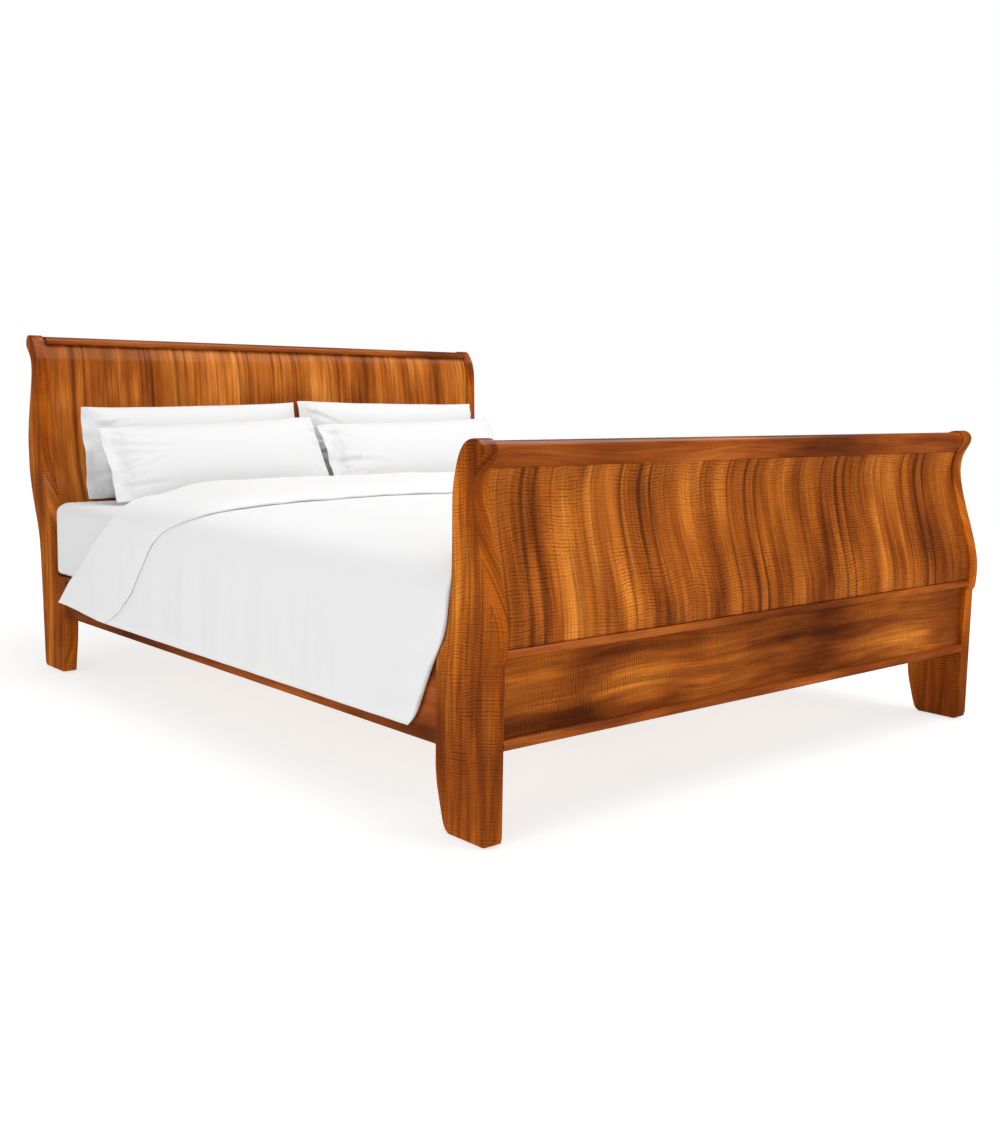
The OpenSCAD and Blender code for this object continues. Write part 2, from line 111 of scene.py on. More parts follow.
CAMERA_PLACE = (-2.72995, -3.30951, 0.98065)
CAMERA_YAW = 0.71265      # from +Y towards +X
CAMERA_PITCH = 0.13067    # downwards
CAMERA_ROLL = 0.01628
LENS_MM = 42.447
SENSOR_MM = 36


def make_camera():
    data = bpy.data.cameras.new("camera")
    data.lens = LENS_MM
    data.sensor_width = SENSOR_MM
    data.clip_end = 100
    obj = bpy.data.objects.new("camera", data)
    scene.collection.objects.link(obj)
    turn = (
        Matrix.Rotation(-CAMERA_YAW, 4, "Z")
        @ Matrix.Rotation(math.pi / 2 - CAMERA_PITCH, 4, "X")
        @ Matrix.Rotation(CAMERA_ROLL, 4, "Z")
    )
    obj.matrix_world = Matrix.Translation(CAMERA_PLACE) @ turn
    scene.camera = obj


# ---------------------------------------------------------------- light and floor

ROOM_GLOW = 0.50
ROOM_IN_GLOSS = 0.04      # dark flags keep the room out of the lacquer


def area_light(name, place_at, aim, size, power, in_gloss=True):
    data = bpy.data.lights.new(name, "AREA")
    data.shape = "RECTANGLE"
    data.size, data.size_y = size
    data.energy = power
    obj = bpy.data.objects.new(name, data)
    scene.collection.objects.link(obj)
    obj.location = place_at
    obj.rotation_euler = (Vector(aim) - Vector(place_at)).to_track_quat("-Z", "Y").to_euler()
    obj.visible_glossy = in_gloss


def make_light():
    area_light("overhead", (0.6, -0.6, 3.6), (0, 0, 0.3), (4.5, 4.0), 114)
    area_light("front", (1.6, -5.0, 1.7), (0, 0, 0.5), (3.5, 1.6), 62, in_gloss=False)
    area_light("left", (-5.0, -1.0, 2.0), (0, 0, 0.5), (3.0, 2.4), 50)
    world = bpy.data.worlds.new("studio")
    scene.world = world
    world.use_nodes = True
    tree = world.node_tree
    tree.nodes.clear()
    seen = tree.nodes.new("ShaderNodeLightPath")
    out = tree.nodes.new("ShaderNodeOutputWorld")
    surface = None
    for ray, strength in ((None, ROOM_GLOW), ("Is Glossy Ray", ROOM_IN_GLOSS), ("Is Camera Ray", 1.0)):
        glow = tree.nodes.new("ShaderNodeBackground")
        glow.inputs["Color"].default_value = (1, 1, 1, 1)
        glow.inputs["Strength"].default_value = strength
        if ray:
            mix = tree.nodes.new("ShaderNodeMixShader")
            tree.links.new(seen.outputs[ray], mix.inputs["Fac"])
            tree.links.new(surface, mix.inputs[1])
            tree.links.new(glow.outputs[0], mix.inputs[2])
            surface = mix.outputs[0]
        else:
            surface = glow.outputs[0]
    tree.links.new(surface, out.inputs["Surface"])


# ---------------------------------------------------------------- materials

class Shader:
    """A material's node tree, with short ways to add the nodes it uses."""

    def __init__(self, name, **constants):
        self.material = bpy.data.materials.new(name)
        self.material.use_nodes = True
        self.tree = self.material.node_tree
        self.bsdf = self.tree.nodes["Principled BSDF"]
        for socket, value in constants.items():
            self.bsdf.inputs[socket.replace("_", " ")].default_value = value

    def put(self, node, socket, value):
        if isinstance(value, bpy.types.NodeSocket):
            self.tree.links.new(value, node.inputs[socket])
        elif value is not None:
            node.inputs[socket].default_value = value

    def math(self, operation, a, b=None, c=None):
        node = self.tree.nodes.new("ShaderNodeMath")
        node.operation = operation
        for k, value in enumerate((a, b, c)):
            self.put(node, k, value)
        return node.outputs[0]

    def axes(self):
        """The object's own X, Y and Z, in metres."""
        where = self.tree.nodes.new("ShaderNodeTexCoord")
        parts = self.tree.nodes.new("ShaderNodeSeparateXYZ")
        self.tree.links.new(where.outputs["Object"], parts.inputs[0])
        return {axis: parts.outputs[axis] for axis in "XYZ"}

    def vector(self, x, y, z=0.0):
        node = self.tree.nodes.new("ShaderNodeCombineXYZ")
        for k, value in enumerate((x, y, z)):
            self.put(node, k, value)
        return node.outputs[0]

    def noise(self, at, scale, detail=2.0, rough=0.5, distortion=0.0):
        node = self.tree.nodes.new("ShaderNodeTexNoise")
        self.put(node, "Vector", at)
        for socket, value in (("Scale", scale), ("Detail", detail), ("Roughness", rough),
                              ("Distortion", distortion)):
            node.inputs[socket].default_value = value
        return node.outputs["Fac"]

    def ramp(self, value, stops):
        node = self.tree.nodes.new("ShaderNodeValToRGB")
        self.put(node, "Fac", value)
        elements = node.color_ramp.elements
        while len(elements) < len(stops):
            elements.new(0.5)
        for element, (at, colour) in zip(elements, stops):
            element.position = at
            element.color = (*colour, 1) if isinstance(colour, tuple) else (colour,) * 3 + (1,)
        return node.outputs["Color"]

    def mix(self, kind, share, a, b):
        node = self.tree.nodes.new("ShaderNodeMix")
        node.data_type = "RGBA"
        node.blend_type = kind
        self.put(node, 0, share)
        for socket, value in ((6, a), (7, b)):
            self.put(node, socket, (*value, 1) if isinstance(value, tuple) else value)
        return node.outputs[2]

    def bump(self, height, distance, strength=1.0):
        node = self.tree.nodes.new("ShaderNodeBump")
        self.put(node, "Height", height)
        node.inputs["Distance"].default_value = distance
        node.inputs["Strength"].default_value = strength
        self.tree.links.new(node.outputs[0], self.bsdf.inputs["Normal"])

    def colour(self, socket):
        self.tree.links.new(socket, self.bsdf.inputs["Base Color"])


DARK_STREAK = (0.075, 0.017, 0.004)
# The dark lines in one veneer leaf: place from 0 to 1 across it, half width, and how dark
FOOT_LEAF_LINES = [(0.035, 0.026, 0.80), (0.135, 0.022, 0.78), (0.27, 0.012, 0.42),
                   (0.39, 0.014, 0.34), (0.53, 0.012, 0.30), (0.61, 0.016, 0.42),
                   (0.86, 0.014, 0.60)]
HEAD_LEAF_LINES = [(0.05, 0.024, 0.70), (0.145, 0.020, 0.60), (0.35, 0.010, 0.45),
                   (0.40, 0.010, 0.45), (0.46, 0.012, 0.55), (0.69, 0.018, 0.55),
                   (0.79, 0.020, 0.62)]


def line_stops(lines):
    stops = [(0.0, 0.0)]
    for at, half, depth in lines:
        stops += [(at - half, 0.0), (at - half / 3, depth), (at + half / 3, depth), (at + half, 0.0)]
    return stops


def koa(name, along, across, tones, leaf=None, curl=0.35, curl_pitch=0.0075, slant=0.0,
        seed=0.0, streaks=1.0, solid=True):
    """Lacquered koa. The grain runs along one axis; leaf is (width, first edge, lines) of a veneer.

    In a solid piece the figure changes through its depth too, and in a veneer it does not.
    """
    s = Shader(name, Roughness=0.30, Coat_Weight=0.20, Coat_Roughness=0.06,
               Specular_IOR_Level=0.30, Specular_Tint=(1.0, 0.50, 0.20, 1.0))
    axis = s.axes()
    depth = next(a for a in "XYZ" if a not in (along, across))
    face = s.math("MULTIPLY_ADD", axis[depth], 0.83, axis[across]) if solid else axis[across]
    run = s.math("MULTIPLY_ADD", face, slant, axis[along])
    sway = s.noise(s.vector(s.math("MULTIPLY", face, 0.6), axis[along], seed), 2.6, 0.0)
    side = s.math("MULTIPLY_ADD", sway, 0.045, face)
    grain = s.vector(side, s.math("MULTIPLY", run, 0.06), seed)
    tone = s.noise(grain, 20.0, 4.0, 0.62)
    broad = s.noise(s.vector(side, s.math("MULTIPLY", run, 0.40), seed), 6.0, 3.0)
    both = s.math("MULTIPLY_ADD", tone, 0.45, s.math("MULTIPLY", broad, 0.55))
    colour = s.ramp(both, [(0.36, tones[0]), (0.46, tones[1]), (0.55, tones[2]), (0.65, tones[3])])
    fine = s.noise(s.vector(side, s.math("MULTIPLY", run, 0.02), seed + 3), 240.0, 2.0, 0.6)
    colour = s.mix("MULTIPLY", 0.55, colour, s.ramp(fine, [(0.36, 0.50), (0.55, 1.06)]))
    veins = s.noise(s.vector(side, s.math("MULTIPLY", run, 0.045), seed + 9), 34.0, 3.0, 0.55)
    vein = s.ramp(veins, [(0.38, 0.0), (0.47, 0.8), (0.50, 0.8), (0.58, 0.0)])
    colour = s.mix("MIX", s.math("MULTIPLY", vein, 0.36 * streaks), colour, DARK_STREAK)
    if leaf:
        width, edge, lines = leaf
        place_in = s.math("DIVIDE", s.math("SUBTRACT", side, edge), width)
        drift = s.noise(s.vector(0.0, run, seed + 5), 1.7, 1.0)
        place_in = s.math("FRACT", s.math("MULTIPLY_ADD", drift, 0.10, place_in))
        line = s.ramp(place_in, line_stops(lines))
        fade = s.noise(s.vector(side, run, seed + 2), 5.0, 2.0)
        fade = s.ramp(fade, [(0.32, 0.40), (0.60, 1.0)])
        colour = s.mix("MIX", s.math("MULTIPLY", line, fade), colour, DARK_STREAK)
    # fiddleback: fine dashes across the grain that come and go in patches
    bend = s.noise(s.vector(side, run, seed + 11), 8.0, 2.0)
    phase = s.math("MULTIPLY", s.math("MULTIPLY_ADD", bend, 0.034, run), TAU / curl_pitch)
    wave = s.math("MULTIPLY_ADD", s.math("SINE", phase), 0.5, 0.5)
    dash_at = s.vector(s.math("MULTIPLY", side, 0.55), s.math("MULTIPLY", run, 2.2), seed + 13)
    dash = s.noise(dash_at, 55.0, 2.0)
    dash = s.ramp(dash, [(0.42, 0.05), (0.56, 1.0)])
    patch = s.noise(s.vector(side, s.math("MULTIPLY", run, 0.5), seed + 17), 8.0, 2.0)
    patch = s.ramp(patch, [(0.32, 0.35), (0.58, 1.0)])
    strength = s.math("MULTIPLY", s.math("MULTIPLY", dash, patch), min(1.0, curl * 2.2))
    shade = s.ramp(wave, [(0.0, 0.46), (0.22, 0.80), (0.5, 1.05), (1.0, 1.24)])
    colour = s.mix("MULTIPLY", strength, colour, shade)
    s.colour(colour)
    s.bump(s.math("MULTIPLY", wave, strength), 0.0003, 0.20)
    return s.material


def pale_wood(name, along, across, seed):
    """Planed softwood, for the pieces that are hidden inside and under the bed."""
    s = Shader(name, Roughness=0.62)
    axis = s.axes()
    depth = next(a for a in "XYZ" if a not in (along, across))
    run = s.math("MULTIPLY", axis[along], 0.05)
    rings = s.noise(s.vector(axis[across], run, s.math("ADD", axis[depth], seed)), 45.0, 3.0, 0.6, 0.4)
    s.colour(s.ramp(rings, [(0.30, (0.40, 0.24, 0.12)), (0.48, (0.60, 0.42, 0.24)),
                            (0.70, (0.70, 0.53, 0.34))]))
    s.bump(rings, 0.0004, 0.4)
    return s.material


def zinc(name):
    s = Shader(name, Metallic=1.0, Roughness=0.32)
    axis = s.axes()
    cloud = s.noise(s.vector(axis["X"], axis["Y"], axis["Z"]), 90.0, 3.0)
    s.colour(s.ramp(cloud, [(0.30, (0.42, 0.42, 0.44)), (0.70, (0.62, 0.62, 0.64))]))
    s.bump(cloud, 0.0001, 0.4)
    return s.material


def glide_plastic(name):
    s = Shader(name, Roughness=0.5)
    axis = s.axes()
    grit = s.noise(s.vector(axis["X"], axis["Y"], axis["Z"]), 900.0, 2.0)
    s.colour(s.ramp(grit, [(0.30, (0.018, 0.018, 0.018)), (0.70, (0.030, 0.030, 0.030))]))
    s.bump(grit, 0.0001, 0.5)
    return s.material


def cotton(name, tone, crease_size=0.05, crease=0.0010):
    """Plain woven cotton: a fine weave, with soft creases."""
    s = Shader(name, Roughness=0.88, Sheen_Weight=0.10, Sheen_Roughness=0.5, Specular_IOR_Level=0.2)
    axis = s.axes()
    at = s.vector(axis["X"], axis["Y"], axis["Z"])
    soft = s.noise(at, 1 / crease_size, 3.0, 0.55, 0.6)
    slub = s.noise(s.vector(s.math("MULTIPLY", axis["X"], 0.2), axis["Y"], axis["Z"]), 700.0, 2.0)
    weave = s.noise(at, 1800.0, 1.0)
    tint = s.ramp(slub, [(0.30, tuple(0.965 * c for c in tone)), (0.70, tone)])
    s.colour(tint)
    height = s.math("MULTIPLY_ADD", weave, 0.10, soft)
    height = s.math("MULTIPLY_ADD", slub, 0.05, height)
    s.bump(height, crease, 0.7)
    return s.material


def ticking(name):
    """Mattress cover: pale damask with narrow woven stripes."""
    s = Shader(name, Roughness=0.85, Sheen_Weight=0.1)
    axis = s.axes()
    stripe = s.math("FRACT", s.math("MULTIPLY", axis["X"], 1 / 0.024))
    colour = s.ramp(stripe, [(0.0, (0.72, 0.72, 0.70)), (0.46, (0.72, 0.72, 0.70)),
                             (0.54, (0.62, 0.64, 0.66)), (0.96, (0.62, 0.64, 0.66))])
    s.colour(colour)
    weave = s.noise(s.vector(axis["X"], axis["Y"], axis["Z"]), 1200.0, 2.0)
    s.bump(weave, 0.0003, 0.6)
    return s.material


# ---------------------------------------------------------------- the wooden frame

LEAF_START = -0.800       # X of one joint between veneer leaves; the others follow a leaf apart
FOOT_LEAF_W = 0.385
HEAD_LEAF_W = 0.395
POST_BEVEL = 3.5 * MM
BOARD_BEVEL = 1.5 * MM


def dress(name, material, bevel=0.0):
    """Gives a CAD node its material and smooth shading, and rounds its sharp edges by the bevel."""
    obj = nodes[name]
    obj.data.materials.clear()
    obj.data.materials.append(material)
    obj.data.polygons.foreach_set("use_smooth", [True] * len(obj.data.polygons))
    weld = obj.modifiers.new("weld", "WELD")
    weld.merge_threshold = 0.00001
    if bevel:
        flat = obj.modifiers.new("flat", "DECIMATE")
        flat.decimate_type = "DISSOLVE"
        flat.angle_limit = math.radians(0.4)
        edge = obj.modifiers.new("edge", "BEVEL")
        edge.width = bevel
        edge.segments = 3
        edge.limit_method = "ANGLE"
        edge.angle_limit = math.radians(35)
    shade = obj.modifiers.new("shade", "WEIGHTED_NORMAL")
    shade.keep_sharp = False
    shade.weight = 60


ORANGE = [(0.150, 0.026, 0.002), (0.350, 0.070, 0.003), (0.550, 0.132, 0.006), (0.820, 0.245, 0.020)]
AMBER = [(0.150, 0.030, 0.003), (0.350, 0.080, 0.007), (0.520, 0.138, 0.013), (0.760, 0.245, 0.030)]
HONEY = [(0.180, 0.038, 0.004), (0.410, 0.100, 0.011), (0.610, 0.176, 0.023), (0.820, 0.300, 0.054)]
BROWN = [(0.080, 0.015, 0.002), (0.240, 0.050, 0.004), (0.430, 0.105, 0.008), (0.660, 0.200, 0.018)]
RED = [(0.120, 0.024, 0.004), (0.270, 0.056, 0.007), (0.400, 0.092, 0.011), (0.560, 0.150, 0.020)]


def dress_frame():
    foot_leaf = (FOOT_LEAF_W, LEAF_START, FOOT_LEAF_LINES)
    head_leaf = (HEAD_LEAF_W, LEAF_START, HEAD_LEAF_LINES)
    posts = ("foot_post_left", "foot_post_right", "head_post_left", "head_post_right")
    for k, name in enumerate(posts):
        dress(name, koa("koa_" + name, "Z", "Y", ORANGE, curl=0.42, curl_pitch=0.0070, slant=0.18,
                        streaks=1.5, seed=1.7 * k + 1), POST_BEVEL)
    dress("foot_curved_panel", koa("koa_foot_panel", "Z", "X", AMBER, foot_leaf, curl=0.48, seed=0.4,
                                   streaks=0.8, solid=False))
    dress("head_curved_panel", koa("koa_head_panel", "Z", "X", HONEY, head_leaf, curl=0.07, seed=4.1,
                                   solid=False))
    dress("foot_lower_panel", koa("koa_lower_panel", "X", "Z", BROWN, curl=0.70, curl_pitch=0.008,
                                  seed=2.3, solid=False))
    dress("head_lower_rail", koa("koa_head_rail", "X", "Z", BROWN, curl=0.15, seed=6.3), 2 * MM)
    for k, name in enumerate(("side_rail_left", "side_rail_right")):
        dress(name, koa("koa_" + name, "Y", "Z", RED, curl=0.10, seed=5.2 + k), 3 * MM)
    for k, name in enumerate(("foot_cap_rail", "head_cap_rail", "foot_middle_bead", "foot_lower_bead")):
        dress(name, koa("koa_" + name, "X", "Z", RED, curl=0.08, seed=7.7 + k, streaks=0.6))
    long_wood = pale_wood("pine_along", "Y", "X", 0.3)
    for name in ("ledger_left", "ledger_right", "centre_beam"):
        dress(name, long_wood, BOARD_BEVEL)
    cross_wood = pale_wood("pine_across", "X", "Y", 1.9)
    slats = sorted(n for n in nodes if n.startswith("slat_") and n != "slat_screws")
    for name in ["foot_inner_rail", "footboard_dowels", "headboard_dowels"] + slats:
        dress(name, cross_wood, 0 if "dowels" in name else BOARD_BEVEL)
    up_wood = pale_wood("pine_upright", "Z", "X", 3.1)
    for k in (1, 2, 3):
        dress(f"centre_leg_{k}", up_wood, BOARD_BEVEL)
    metal = zinc("zinc_plate")
    for name in nodes:
        if "plate" in name or "screws" in name or "bolts" in name or "hanger" in name:
            dress(name, metal)
    dress("floor_glides", glide_plastic("glide_plastic"))


# ---------------------------------------------------------------- mattress and fitted sheet

def slab_outline(half_x, half_y, head_r, foot_r, count):
    """Evenly spaced points around a rectangle with round corners, and the length around it."""
    dense = [(half_x, 0.0)]
    corners = [(1, 1, 0.0, head_r), (-1, 1, 0.25, head_r), (-1, -1, 0.5, foot_r), (1, -1, 0.75, foot_r)]
    for sx, sy, turn, r in corners:
        for a in np.linspace(0, math.pi / 2, 25) + TAU * turn:
            dense.append((sx * (half_x - r) + r * math.cos(a), sy * (half_y - r) + r * math.sin(a)))
    dense = np.array(dense + [(half_x, 0.0)])
    length = np.concatenate([[0], np.cumsum(np.linalg.norm(np.diff(dense, axis=0), axis=1))])
    at = length[-1] * np.arange(count) / count
    around = np.stack([np.interp(at, length, dense[:, 0]), np.interp(at, length, dense[:, 1])], 1)
    return around, length[-1]


HEAD_CORNER = 0.012       # radius of the upright corners at the head
FOOT_CORNER = 0.080
LOW_EDGE = 0.014          # radius around the underside
SMALLEST_HEAD_CORNER = 0.008
SMALLEST_FOOT_CORNER = 0.012
COLUMNS_AROUND = 520


def slab_rings(low, high, edge, low_edge, tuck):
    """(inset, height) of each ring of a mattress: across the top, round its edge, down and under."""
    rings = [(d, high) for d in (0.80, 0.66, 0.52, 0.40, 0.30, 0.22, 0.16, 0.115, 0.085, 0.062)]
    for a in np.linspace(0, math.pi / 2, 8):
        rings.append((edge * (1 - math.sin(a)), high - edge * (1 - math.cos(a))))
    for z in np.linspace(high - edge, low + low_edge, 16)[1:-1]:
        rings.append((0.0, z))
    for a in np.linspace(math.pi / 2, 0, 7):
        rings.append((low_edge * (1 - math.sin(a)), low + low_edge * (1 - math.cos(a))))
    for d in np.linspace(low_edge, tuck, 5)[1:]:
        rings.append((d, low))
    return rings


def slab_mesh(name, node, edge, tuck, gathers, inset=0.0, closed=False):
    """A soft slab that fills a CAD slab's box: round edges, and cloth gathered towards its corners."""
    lowest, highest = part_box(node)
    middle = (lowest + highest) / 2
    half = (highest - lowest) / 2
    count = COLUMNS_AROUND
    points = []
    rings = slab_rings(lowest.z + inset, highest.z - inset, edge, LOW_EDGE, tuck)
    for d, z in rings:
        step = d + inset
        head_r = max(HEAD_CORNER - step, SMALLEST_HEAD_CORNER)
        foot_r = max(FOOT_CORNER - step, SMALLEST_FOOT_CORNER)
        around, total = slab_outline(half.x - step, half.y - step, head_r, foot_r, count)
        length = np.arange(count) * total / count
        from_corner = np.min(
            [np.hypot(around[:, 0] - sx * half.x, around[:, 1] - sy * half.y)
             for sx in (-1, 1) for sy in (-1, 1)], axis=0)
        low = np.clip((highest.z - z) / (highest.z - lowest.z), 0, 1)
        wave = np.sin(length * 150 + 2.0 * np.sin(length * 31)) * np.exp(-from_corner / 0.13)
        wave += 0.35 * np.sin(length * 46 + 1.3 * np.sin(length * 17)) * np.exp(-from_corner / 0.5)
        pull = gathers * wave * low ** 0.8 * (1 if d <= edge else 0.3)
        sag = 0.0012 * np.sin(length * 9) * low
        out = around / np.maximum(np.linalg.norm(around, axis=1, keepdims=True), 1e-6)
        near_side = step + 0.001 + head_r * 0.3
        normal = np.stack([
            np.where(np.abs(around[:, 0]) > half.x - near_side, np.sign(around[:, 0]), 0),
            np.where(np.abs(around[:, 1]) > half.y - near_side, np.sign(around[:, 1]), 0),
        ], axis=1)
        normal = np.where(np.linalg.norm(normal, axis=1, keepdims=True) > 0, normal, out)
        normal /= np.linalg.norm(normal, axis=1, keepdims=True)
        shift = (pull + sag - gathers * 0.5 * low)[:, None] * normal
        points += [(middle.x + x, middle.y + y, z) for x, y in around + shift]
    faces = []
    for i in range(len(rings) - 1):
        for k in range(count):
            n = (k + 1) % count
            faces.append((i * count + k, i * count + n, (i + 1) * count + n, (i + 1) * count + k))
    top = list(range(count))
    faces.append(tuple(reversed(top)))
    if closed:
        faces.append(tuple(range((len(rings) - 1) * count, len(rings) * count)))
    return mesh_object(name, points, faces)


def make_mattress():
    pad_edge = 0.034
    pad_under = 0.7           # how far in its underside runs before one flat face closes it
    pad = slab_mesh("mattress_pad", "mattress", pad_edge, pad_under, 0.0, 0.6 * MM, closed=True)
    place(pad, "mattress", "mattress_ticking", ticking("mattress_ticking"), "mattress")
    edge = 0.036
    tuck = 0.14
    cloth = slab_mesh("fitted_sheet_cloth", "fitted_sheet", edge, tuck, 1.1 * MM)
    place(cloth, "mattress", "sheet_cotton", cotton("sheet_cotton", (0.76, 0.76, 0.76)), "fitted_sheet")


# ---------------------------------------------------------------- duvet

# The duvet's cross-section from the bed's middle line to its side hem: 13 stations, each with
# the inner face, the outer face, where along Y its foot end, crest and cuff hem lie, and how
# thick the folded-back cuff is
INNER_X = [0.0, 0.30, 0.60, 0.79, 0.885, 0.930, 0.9500, 0.9580, 0.9600,
           0.9610, 0.9620, 0.9630, 0.9660]
INNER_Z = [0.579, 0.579, 0.579, 0.579, 0.579, 0.574, 0.558, 0.515, 0.455,
           0.400, 0.330, 0.260, 0.2230]
OUTER_X = [0.0, 0.30, 0.60, 0.790, 0.885, 0.938, 0.966, 0.976, 0.980,
           0.982, 0.984, 0.984, 0.9790]
OUTER_Z = [0.632, 0.632, 0.630, 0.625, 0.616, 0.596, 0.558, 0.508, 0.453,
           0.397, 0.330, 0.260, 0.2225]
FOOT_Y = [-1.106, -1.106, -1.106, -1.105, -1.102, -1.099, -1.098, -1.097, -1.088,
          -1.060, -1.027, -0.995, -0.966]
CREST_Y = [0.712, 0.705, 0.680, 0.615, 0.575, 0.550, 0.575, 0.645, 0.715,
           0.783, 0.872, 0.955, 0.985]
HEM_Y = [0.120, 0.125, 0.100, 0.050, 0.055, 0.105, 0.212, 0.286, 0.338,
         0.383, 0.445, 0.540, 0.632]
CUFF_T = [0.028, 0.028, 0.028, 0.026, 0.023, 0.020, 0.017, 0.015, 0.013,
          0.012, 0.012, 0.011, 0.010]
LAST_STATION = 12
LAYER_GAP = 0.0012        # between the cuff and the quilt that it lies on
HEM_TAPER = 0.030         # how far up from its side hems the duvet thins
FOOT_RADIUS = 0.016       # the most that the foot edge is rounded
COLUMN_STEP = 0.012       # spacing of the mesh's columns across the bed
ALONG = 150               # mesh steps from the foot edge to the crest
FOLD = 44                 # from the crest to the cuff's hem
TURN = 10                 # around the crest, and around the crease inside it
EDGE_TURN = 6             # around the cuff's hem, and around the foot edge


def duvet_columns():
    """Places in the lists above for each mesh column, below 0 on the left side, and its hem taper."""
    fine = np.linspace(0, LAST_STATION, 100 * LAST_STATION + 1)
    x = curve_at(OUTER_X, fine)
    z = curve_at(OUTER_Z, fine)
    length = np.concatenate([[0], np.cumsum(np.hypot(np.diff(x), np.diff(z)))])
    count = int(length[-1] / COLUMN_STEP)
    even = np.linspace(0, length[-1], count + 1)
    at = np.interp(even, length, fine)
    from_hem = np.minimum((length[-1] - even) / HEM_TAPER, 1)
    taper = np.sqrt(np.clip(1 - (1 - from_hem) ** 2, 0.02, 1))
    return np.concatenate([-at[:0:-1], at]), np.concatenate([taper[:0:-1], taper])


class Duvet:
    """The duvet's shape, as arrays with one value for each column of its mesh."""

    def __init__(self):
        across, self.taper = duvet_columns()
        self.at = np.abs(across)
        self.side = np.where(across < 0, -1.0, 1.0)
        inner = np.stack([curve_at(INNER_X, self.at), curve_at(INNER_Z, self.at)], 1)
        self.outer = np.stack([curve_at(OUTER_X, self.at), curve_at(OUTER_Z, self.at)], 1)
        self.thick = np.linalg.norm(self.outer - inner, axis=1)
        self.away = (self.outer - inner) / self.thick[:, None]
        self.middle = (self.outer + inner) / 2
        self.on_side = smoothstep(5.5, 9.0, self.at)
        self.on_shoulder = smoothstep(1.8, 3.2, self.at) * (1 - self.on_side)
        self.foot = curve_at(FOOT_Y, self.at)
        self.crest = curve_at(CREST_Y, self.at)
        self.hem = curve_at(HEM_Y, self.at)
        self.cuff = curve_at(CUFF_T, self.at) * self.taper

    def quilt_height(self, y):
        """Thickness of the quilt below the cuff.

        It is pressed thinner at the sides, over the mattress's edge and beside the foot posts.
        """
        side_press = 0.45 * self.on_side * smoothstep(-0.05, 0.03, y - self.hem)
        shoulder_press = 0.50 * self.on_shoulder * smoothstep(0.12, 0.50, y)
        foot_press = 0.50 * self.on_side * np.exp(-np.maximum(y - self.foot, 0) / 0.030)
        return self.thick * self.taper * (1 - side_press - shoulder_press) * (1 - foot_press)

    def cuff_height(self, y):
        """Thickness of the folded-back part, which thins towards its hem."""
        return self.cuff * (1 - 0.60 * np.exp(-np.maximum(y - self.hem, 0) / 0.06))

    def rows(self):
        """The mesh's rows, once around a lengthwise section: Y, height, and if the fold's wrinkles show."""
        radius = (self.quilt_height(self.crest) + LAYER_GAP + self.cuff_height(self.crest)) / 2
        crease = self.crest - radius
        foot_radius = np.minimum(self.quilt_height(self.foot) / 2, FOOT_RADIUS)
        start = self.foot + foot_radius
        cuff_radius = self.cuff_height(self.hem) / 2
        cuff_end = self.hem + cuff_radius
        rows = []
        for t in np.linspace(0, 1, ALONG + 1):
            rows.append((start + t * (crease - start), 0 * start, False))
        for a in np.linspace(0, math.pi, TURN + 1)[1:-1]:
            rows.append((crease + radius * math.sin(a), radius * (1 - math.cos(a)), True))
        for t in np.linspace(0, 1, FOLD + 1):
            y = crease + t * (cuff_end - crease)
            rows.append((y, self.quilt_height(y) + LAYER_GAP + self.cuff_height(y), True))
        for a in np.linspace(0, math.pi, EDGE_TURN + 1)[1:-1]:
            y = cuff_end - cuff_radius * math.sin(a) * 1.2
            rise = cuff_radius * (1 + math.cos(a))
            rows.append((y, self.quilt_height(y) + LAYER_GAP + rise, True))
        for t in np.linspace(1, 0, FOLD + 1):
            y = crease + t * (cuff_end - crease)
            rows.append((y, self.quilt_height(y) + LAYER_GAP, True))
        for a in np.linspace(math.pi, 0, TURN + 1)[1:-1]:
            y = crease + LAYER_GAP / 2 * math.sin(a)
            rows.append((y, self.quilt_height(y) + LAYER_GAP / 2 * (1 - math.cos(a)), False))
        for t in np.linspace(1, 0, ALONG + 1):
            y = start + t * (crease - start)
            rows.append((y, self.quilt_height(y), False))
        for a in np.linspace(0, math.pi, EDGE_TURN + 1)[1:-1]:
            half = self.quilt_height(start) / 2
            rows.append((start - foot_radius * math.sin(a), half * (1 + math.cos(a)), False))
        return rows

    def swell(self, y, share, folded):
        """How far the quilted cloth stands out from its smooth shape."""
        anchor = np.stack([self.side * self.outer[:, 0], y, self.outer[:, 1]], 1)
        puff = 0.0040 * wander(anchor, 0.34, 1) + 0.0016 * wander(anchor * (1, 0.55, 1), 0.11, 2)
        hang = 0.0035 * np.sin(TAU * y / 0.26 + 1.4 * np.sin(y * 5.1) + self.side)
        hang += 0.0018 * np.sin(TAU * y / 0.085 + 2.1 * np.sin(y * 11))
        hang *= self.on_side * (1 - 0.6 * smoothstep(0.2, 0.5, y))
        puckers = 0.0012 * wander(anchor * (1, 3.0, 1), 0.05, 3) * (0.35 + 0.65 * self.on_side)
        near_foot = np.exp(-(y - self.foot) / 0.07)
        rumple = 0.0030 * near_foot * self.on_side * np.sin(TAU * anchor[:, 2] / 0.075 + y * 22)
        out = (puff + hang + puckers + rumple) * share * self.taper
        if folded:
            out = out + 0.0018 * wander(anchor * (1, 1.6, 1), 0.07, 4) * share
        return out

